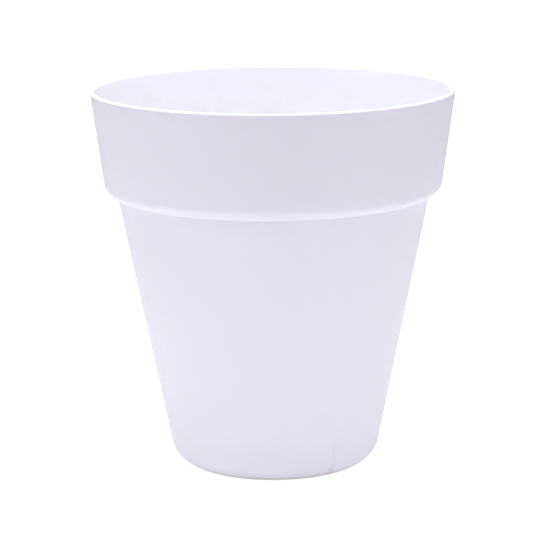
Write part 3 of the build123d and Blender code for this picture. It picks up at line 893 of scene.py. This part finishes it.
def fill_lid():
    """The hinged lid: a disc with a groove, a raised drop, a lifting tab and a plug ring."""
    x, y = FILL_AT
    low, high = 386.3, 388.8
    outline = [
        (0.0, low),
        (21.0, low, 0.2),
        (21.0, low - 2.2, 0.4),
        (22.6, low - 2.2, 0.5),
        (22.6, low, 0.2),
        (27.0, low, 0.4),
        (27.0, high, 1.0),
        *grooved(21.5, 1.8, high),
        (0.0, high),
    ]
    lid = lathe(outline, 90, FILL_AT, closed=False)
    corner = [math.radians(15 * k) for k in range(7)]
    tab = [(-8, 20), (8, 20)]
    tab += [(5 + 3 * math.cos(a), 30 + 3 * math.sin(a)) for a in corner]
    tab += [(-5 - 3 * math.sin(a), 30 + 3 * math.cos(a)) for a in corner]
    arm = rectangle(x - 6.8, x + 6.8, HINGE_Y, y - 22)
    knuckle = along_x(KNUCKLE_RADIUS, x - 7, x + 7, HINGE_Y, HINGE_Z, 40)
    marks = []
    for y_low in (27.6, 29.3, 31.0):
        marks.append(prism(rectangle(-5, 5, y_low, y_low + 0.8), high - 0.5, high + 0.5, FILL_AT))
    marks.append(prism(drop_outline(9.0, 40), high - 0.5, high + 0.8, (x, y - 2.5)))
    bore = along_x(1.55, x - 30, x + 30, HINGE_Y, HINGE_Z, 24)
    combined(lid, [prism(tab, low, high, FILL_AT)], "UNION")
    combined(lid, [prism(arm, low, high)], "UNION")
    combined(lid, [knuckle], "UNION")
    combined(lid, marks, "UNION")
    combined(lid, [bore], "DIFFERENCE")
    return softened(lid, 0.25, angle=45)


def lid_hinge_pin():
    """The lid's pin, along X."""
    half = 12.8
    outline = [(0.0, -half), (1.5, -half, 0.4), (1.5, half, 0.4), (0.0, half)]
    bm = revolved(rounded(outline, False, math.radians(15)), even_columns(32), closed=False)
    return link("pin", to_mesh(transformed(bm, shift(FILL_AT[0], HINGE_Y, HINGE_Z) @ UP_TO_X)))


def float_cage():
    """The slotted chamber that keeps soil off the float."""
    outer = [
        (0.0, 8.0),
        (17.0, 8.0, 1.5),
        (17.0, DECK_Z, 0.8),
        (9.1, DECK_Z, 0.2),
        (9.1, DECK_Z - 3),
    ]
    inner = [
        (9.1, DECK_Z - 3, 0.2),
        (15.2, DECK_Z - 3, 1.5),
        (15.2, 10.0, 1.0),
        (0.0, 10.0),
    ]
    points = rounded(outer, False)[:-1] + rounded(inner, False, math.radians(18))
    cage = link("cage", to_mesh(revolved(points, even_columns(64), False, GAUGE_AT)))
    cuts = [drilled(2, 7, 12, around(60 * i, 9, GAUGE_AT), 20) for i in range(6)]
    for i in range(6):
        for low, high in ((16, 46), (52, 82)):
            cuts.append(side_slot(low, high, 4, 12, 22, 60 * i, GAUGE_AT))
    combined(cage, cuts, "DIFFERENCE")
    return softened(cage, 0.3, angle=50)


# The float's beads, and the seams between them.
BEADS_PER_MM = 0.45
SEAM_WIDTH = 0.45  # in beads
SEAM_DEPTH = 0.35  # millimetres for each bead's width of seam


def gauge_float():
    """A foam cylinder with shallow seams between its beads."""
    low, high = heights_of("gauge_float")
    outline = [(2.0, low, 0.6), (14.0, low, 3.0), (14.0, high, 3.0), (2.0, high, 0.6)]

    def seamed(_, r, z, angle):
        spot = Vector((r * math.cos(angle), r * math.sin(angle), z)) * BEADS_PER_MM
        nearest, second = noise.voronoi(spot)[0][:2]
        seam = max(0.0, SEAM_WIDTH - (second - nearest))
        return r - (SEAM_DEPTH * seam if r > 3 else 0.0), z

    points = spaced(rounded(outline, True, math.radians(12)), 0.8)
    return link("float", to_mesh(revolved(points, even_columns(144), True, GAUGE_AT, seamed)))


def gauge_rod():
    """The float's rod, rounded at both ends."""
    low, high = heights_of("gauge_rod")
    outline = [(0.0, low), (2.0, low, 0.4), (2.0, high, 0.4), (0.0, high)]
    return lathe(outline, 32, GAUGE_AT, closed=False)


def gauge_pointer():
    """The red marker, with two fine grooves round it."""
    low, high = heights_of("gauge_pointer")
    grooves = []
    for z in (low + 3.0, low + 6.0):
        grooves += ring_groove(6.0, 5.6, z, 0.7, 0.3, 0.1)
    outline = [(2.0, low, 0.2), (6.0, low, 0.5), *grooves, (6.0, high, 3.6), (0.0, high)]
    points = rounded(outline, False, math.radians(15))
    inside = [Vector((0.0, high - 3.0)), Vector((2.0, high - 3.0))]
    return link("pointer", to_mesh(revolved(inside + points, even_columns(48), False, GAUGE_AT)))


def gauge_tube():
    """The tube that carries the rod up, with a stop ring over the platform."""
    outline = [
        (7.2, 92.0, 0.3),
        (9.0, 92.0, 0.5),
        (9.0, 98.0, 0.2),
        (13.0, 98.0, 0.3),
        (13.0, 101.0, 0.8),
        (9.0, 101.0, 0.9),
        (9.0, 316.0, 0.4),
        (7.2, 316.0, 0.3),
    ]
    return lathe(outline, 56, GAUGE_AT)


def rod_guide():
    """The bush in the gauge tube, with a lead-in for the rod."""
    low, high = heights_of("rod_guide")
    outline = [
        (2.4, low, 0.4),
        (7.2, low, 0.3),
        (7.2, high, 0.4),
        (4.6, high, 0.4),
        (3.9, high - 0.9, 0.2),
        (2.9, high - 0.9, 0.3),
        (2.4, high - 1.4),
    ]
    return lathe(outline, 48, GAUGE_AT)


def gauge_window():
    """The clear sleeve round the scale, closed at its top."""
    outline = [
        (9.1, 304.0, 0.2),
        (10.9, 304.0, 0.5),
        (10.9, 388.0, 0.4),
        (0.0, 388.0),
    ]
    outside = rounded(outline, False, math.radians(18))
    inside = rounded([(0.0, 386.2), (9.1, 386.2, 0.6), (9.1, 304.2)], False, math.radians(18))
    return link("window", to_mesh(revolved(outside + inside, even_columns(64), True, GAUGE_AT)))


def gauge_scale():
    """A thin curved strip, thinner at its edges, on the wall side of the window."""
    low, high = heights_of("gauge_scale")
    bm = bmesh.new()
    rows = []
    count = 36
    first, sweep = 215, 110  # degrees
    edge = 0.15
    for z in (low, low + edge, high - edge, high):
        row = []
        for k in range(count + 1):
            angle = math.radians(first + sweep * k / count)
            thin = 0.12 if k in (0, count) or z in (low, high) else 0.0
            for r in (8.3 + thin, 9.0 - thin):
                x, y = GAUGE_AT[0] + r * math.cos(angle), GAUGE_AT[1] + r * math.sin(angle)
                row.append(bm.verts.new((x * MM, y * MM, z * MM)))
        rows.append(row)
    for below, over in zip(rows, rows[1:]):
        for k in range(count):
            for side in (0, 1):
                a, b = 2 * k + side, 2 * k + 2 + side
                bm.faces.new((below[a], below[b], over[b], over[a]))
        for a in (0, 2 * count):
            bm.faces.new((below[a], below[a + 1], over[a + 1], over[a]))
    for row in (rows[0], rows[-1]):
        for k in range(count):
            bm.faces.new((row[2 * k], row[2 * k + 1], row[2 * k + 3], row[2 * k + 2]))
    bmesh.ops.recalc_face_normals(bm, faces=bm.faces)
    return link("scale", to_mesh(bm))


def gauge_cap():
    """A cap with a fluted skirt and a dished top."""
    outline = [
        (0.0, 388.0),
        (11.0, 388.0, 0.3),
        (11.0, 380.0, 0.2),
        (12.7, 380.0, 0.5),
        (12.7, 392.0, 1.0),
        (10.7, 394.0, 0.8),
        (8.6, 394.0, 0.4),
        (7.9, 393.3, 0.4),
        (0.0, 393.3),
    ]

    def fluted(_, r, z, angle):
        deep = 0.45 if r > 12.3 and 381.5 < z < 391.5 else 0.0
        return r - deep * (0.5 + 0.5 * math.cos(24 * angle)) ** 2, z

    points = spaced(rounded(outline, False, math.radians(18)), 1.5)
    return link("cap", to_mesh(revolved(points, even_columns(192), False, GAUGE_AT, fluted)))


THREAD_PITCH = 1.6
THREAD_DEPTH = 0.55


def thread(radius, low, high):
    """The corners of a row of rounded ridges on a pipe, from low to high."""
    points = []
    for k in range(int((high - low) / THREAD_PITCH)):
        z = low + THREAD_PITCH * k
        points.append((radius, z + 0.2, 0.1))
        points.append((radius - THREAD_DEPTH, z + THREAD_PITCH * 0.5, 0.12))
        points.append((radius, z + THREAD_PITCH - 0.2, 0.1))
    return points


def overflow_standpipe():
    """The threaded pipe through the base, with its flange and a chamfered mouth."""
    outline = [
        (7.5, 12.0, 0.4),
        (8.9, 12.0, 0.2),
        (9.5, 12.8, 0.1),
        *thread(9.5, 13.0, 31.0),
        (9.5, 32.0),
        (18.0, 32.0, 0.4),
        (18.0, 35.0, 1.0),
        (9.5, 35.0, 1.2),
        (9.5, 82.0, 0.5),
        (7.5, 82.0, 0.6),
    ]
    return lathe(outline, 72)


def standpipe_washer():
    """The sealing ring between the base and the standpipe's flange."""
    outline = [(9.5, 29.0, 0.5), (16.0, 29.0, 1.0), (16.0, 32.0, 1.0), (9.5, 32.0, 0.5)]
    return lathe(outline, 64)


def standpipe_locknut():
    """A hexagon with turned-off corners and a round flange."""
    nut = link("nut", to_mesh(prism(circle(15 / math.cos(math.pi / 6), 6), 15.0, 22.5)))
    turned = rounded([(0.0, 14.9), (14.6, 14.9), (18.0, 17.2), (18.0, 24.0), (0.0, 24.0)], False)
    combined(nut, [revolved(turned, even_columns(96), False)], "INTERSECT")
    flange = rounded([(0.0, 22.0), (19.0, 22.0, 0.5), (19.0, 24.0, 0.5), (0.0, 24.0)], False)
    combined(nut, [revolved(flange, even_columns(96), False)], "UNION")
    combined(nut, [drilled(9.5, 10, 30, CENTRE, 64)], "DIFFERENCE")
    return softened(nut, 0.3, angle=25)


def overflow_strainer():
    """The slotted cap on the standpipe, with a dished crown."""
    outline = [
        (0.0, 88.0),
        (11.0, 88.0, 0.4),
        (11.0, 82.0, 0.2),
        (9.6, 82.0, 0.2),
        (9.6, 72.0, 0.3),
        (13.0, 72.0, 0.6),
        (13.0, 88.0, 0.8),
        (11.0, 90.0, 0.8),
        (6.4, 90.0, 0.3),
        (5.8, 89.4, 0.2),
        (0.0, 89.4),
    ]
    cap = lathe(outline, 72, closed=False)
    cuts = [side_slot(82.5, 87, 2.4, 10.2, 15, 45 * i, CENTRE) for i in range(8)]
    combined(cap, cuts, "DIFFERENCE")
    return softened(cap, 0.25, angle=50)


# ---- camera and light

CAMERA_PITCH = math.radians(12.0)
CAMERA_DISTANCE = 2.713
CAMERA_AIM = Vector((-0.0022, 0.0, 0.2120))
CAMERA_ROLL = math.radians(-0.45)
CAMERA_LENS = 161.5
SENSOR_WIDTH = 36.0


def make_camera():
    """A long lens in front of the pot, a little above it."""
    data = bpy.data.cameras.new("camera")
    data.lens = CAMERA_LENS
    data.sensor_width = SENSOR_WIDTH
    data.clip_start = 0.05
    camera = bpy.data.objects.new("camera", data)
    bpy.context.scene.collection.objects.link(camera)
    back = Vector((0, -math.cos(CAMERA_PITCH), math.sin(CAMERA_PITCH)))
    camera.location = CAMERA_AIM + back * CAMERA_DISTANCE
    level = (-back).to_track_quat("-Z", "Y").to_matrix().to_4x4()
    rolled = level @ Matrix.Rotation(CAMERA_ROLL, 4, "Z")
    camera.rotation_euler = rolled.to_euler()
    bpy.context.scene.camera = camera


def area_light(name, place, aim, size, power):
    """A soft rectangular light that points at aim."""
    data = bpy.data.lights.new(name, "AREA")
    data.shape = "RECTANGLE"
    data.size, data.size_y = size
    data.energy = power
    light = bpy.data.objects.new(name, data)
    bpy.context.scene.collection.objects.link(light)
    light.location = place
    light.rotation_euler = (Vector(aim) - Vector(place)).to_track_quat("-Z", "Y").to_euler()


def seen_directly(tree):
    """1 for rays from the camera, 0 for light that goes on to something else."""
    return node(tree, "ShaderNodeLightPath").outputs["Is Camera Ray"]


def floor_glow(tree, where):
    """Emission for the floor: a soft pool of light round the pot that lights it from below, and
    full white wherever the camera sees the floor clear of the pot's foot."""
    distance = on_vectors(tree, "LENGTH", where).outputs["Value"]
    squared = arithmetic(tree, "POWER", arithmetic(tree, "DIVIDE", distance, POOL_RADIUS), 2.0)
    falling = arithmetic(tree, "EXPONENT", arithmetic(tree, "MULTIPLY", squared, -1.0))
    clear_of_foot = remapped(tree, distance, *POOL_START, 0.0, POOL_STRENGTH)
    pool = arithmetic(tree, "MULTIPLY", falling, clear_of_foot)
    white = remapped(tree, distance, *WHITE_START, 0.0, 1.0)
    return arithmetic(tree, "ADD", pool, arithmetic(tree, "MULTIPLY", white, seen_directly(tree)))


# Name, place, size and power of each soft light. They all point at the pot's middle.
LIGHTS = [
    ("light_top", (0.0, 0.0, 1.8), (1.0, 1.0), 40.0),
    ("light_top_front", (0.0, -1.8, 2.2), (2.0, 1.2), 16.5),
    ("light_left", (-2.2, -0.3, 0.9), (1.4, 1.6), 8.8),
    ("light_right", (2.2, -0.3, 0.9), (1.4, 1.6), 9.6),
    ("light_left_back", (-1.8, 1.6, 0.9), (1.4, 1.6), 9.5),
    ("light_right_back", (1.8, 1.6, 0.9), (1.4, 1.6), 6.8),
    ("light_front_left", (-1.6, -2.4, 1.2), (1.2, 1.2), 8.3),
    ("light_front_right", (1.6, -2.4, 1.2), (1.2, 1.2), 3.0),
]
LIGHT_AIM = (0.0, 0.0, 0.2)
AMBIENT = 0.06  # the strength of the world's light, which the camera sees as full white

# The floor and its glow. Distances are from the pot's axis, in metres.
POOL_RADIUS = 0.25
POOL_STRENGTH = 0.55
POOL_START = (0.085, 0.132)
WHITE_START = (0.088, 0.104)
FLOOR_REACH = 8.0
FLOOR_TONES = ((0.93, 0.93, 0.93, 1), (0.95, 0.95, 0.95, 1))


def make_studio():
    """The white background, the soft lights and the floor."""
    world = bpy.data.worlds.new("studio")
    world.use_nodes = True
    tree = world.node_tree
    background = tree.nodes["Background"]
    background.inputs["Color"].default_value = (1.0, 1.0, 1.0, 1)
    strength = remapped(tree, seen_directly(tree), 0.0, 1.0, AMBIENT, 1.0)
    tree.links.new(strength, background.inputs["Strength"])
    bpy.context.scene.world = world
    bpy.context.scene.view_settings.view_transform = "Standard"
    for name, place, size, power in LIGHTS:
        area_light(name, place, LIGHT_AIM, size, power)

    bm = bmesh.new()
    bmesh.ops.create_grid(bm, x_segments=8, y_segments=8, size=FLOOR_REACH)
    floor = link("floor", to_mesh(bm))
    material, tree, shader, where = material_of("floor", Roughness=0.9)
    cloud = noise_field(tree, where, 3.0, detail=3.0)
    tree.links.new(mixed(tree, cloud, *FLOOR_TONES), shader.inputs["Base Color"])
    shader.inputs["Emission Color"].default_value = (1.0, 1.0, 1.0, 1.0)
    tree.links.new(floor_glow(tree, where), shader.inputs["Emission Strength"])
    floor.data.materials.append(material)


# ---- assembly

make_camera()
make_studio()
MATERIALS = all_materials()

# Each node's maker. The wicking feet share one, below.
MAKERS = {
    "planter_shell": planter_shell,
    "reservoir_platform": reservoir_platform,
    "fill_tube": fill_tube,
    "fill_funnel": fill_funnel,
    "fill_lid": fill_lid,
    "lid_hinge_pin": lid_hinge_pin,
    "float_cage": float_cage,
    "gauge_float": gauge_float,
    "gauge_rod": gauge_rod,
    "gauge_pointer": gauge_pointer,
    "gauge_tube": gauge_tube,
    "rod_guide": rod_guide,
    "gauge_window": gauge_window,
    "gauge_scale": gauge_scale,
    "gauge_cap": gauge_cap,
    "overflow_standpipe": overflow_standpipe,
    "standpipe_washer": standpipe_washer,
    "standpipe_locknut": standpipe_locknut,
    "overflow_strainer": overflow_strainer,
}
RECORD = frame["record"]
SLOT_OF = {entry["node"]: entry["material_slot"] for entry in RECORD["subparts"]}
BODY_OF = {
    node_name: body
    for body, node_names in RECORD["behaviour"]["bodies"].items()
    for node_name in node_names
}


def place_piece(piece, node_name):
    slot = SLOT_OF[node_name]
    finished(piece, BODY_OF[node_name], node_name, MATERIALS[slot])


for node_name, maker in MAKERS.items():
    place_piece(maker(), node_name)
for number, azimuth in enumerate(FOOT_AZIMUTHS, 1):
    place_piece(wicking_foot(azimuth), f"wicking_foot_{number}")
